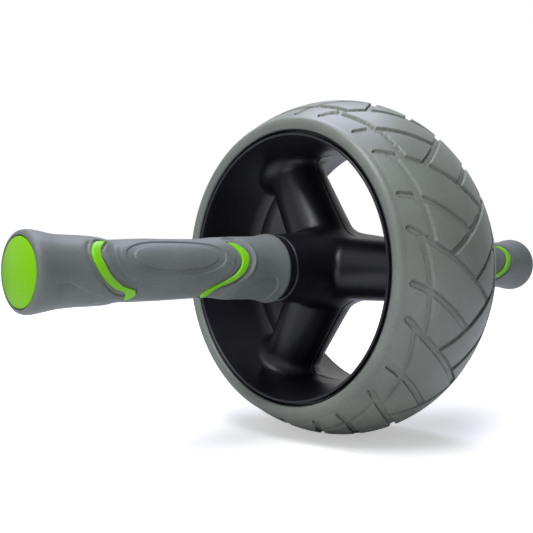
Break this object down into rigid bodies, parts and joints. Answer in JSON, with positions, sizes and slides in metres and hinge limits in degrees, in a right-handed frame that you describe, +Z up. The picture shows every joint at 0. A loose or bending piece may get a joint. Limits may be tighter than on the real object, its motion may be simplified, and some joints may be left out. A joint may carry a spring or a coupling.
{
  "type": "ab wheel roller",
  "caption": "Hand roller for floor exercise: one wide crowned rubber tyre on a three-spoke core, free to turn on an axle with a contoured two-tone grip at each end.",
  "frame": {"origin": "centre of the wheel, on the axle's centre line at the wheel's middle plane", "axes": "+Y along the axle towards the right handle's end, +Z up, +X forwards, the way the wheel rolls; the left handle is at -Y"},
  "size_m": [0.195, 0.4, 0.195],
  "materials": {
    "tyre": "satin, finely grained",
    "core_plastic": "satin moulded",
    "grip_rubber": "satin, finely grained",
    "green_plastic": "semi-gloss",
    "cap_plastic": "satin",
    "axle_steel": "ground",
    "bearing_steel": "polished",
    "screw_steel": "zinc plated",
    "cage_plastic": "moulded"
  },
  "bodies": {
    "handles": {"axle": "axle_steel", "bearing_spacer": "axle_steel", "left_inner_race": "bearing_steel", "right_inner_race": "bearing_steel", "left_collar": "core_plastic", "right_collar": "core_plastic", "left_handle_core": "green_plastic", "right_handle_core": "green_plastic", "left_grip": "grip_rubber", "right_grip": "grip_rubber", "left_end_washer": "screw_steel", "right_end_washer": "screw_steel", "left_end_screw": "screw_steel", "right_end_screw": "screw_steel", "left_end_cap": "cap_plastic", "right_end_cap": "cap_plastic"},
    "wheel": {"tyre": "tyre", "left_rim_half": "core_plastic", "right_rim_half": "core_plastic", "core_screws": "screw_steel", "left_outer_race": "bearing_steel", "right_outer_race": "bearing_steel", "left_balls": "bearing_steel", "right_balls": "bearing_steel", "left_cage": "cage_plastic", "right_cage": "cage_plastic"}
  },
  "joints": [
    {"name": "wheel_spin", "type": "hinge", "parent": "handles", "child": "wheel", "pos_m": [0, 0, 0], "axis": [0, 1, 0], "continuous": true}
  ]
}
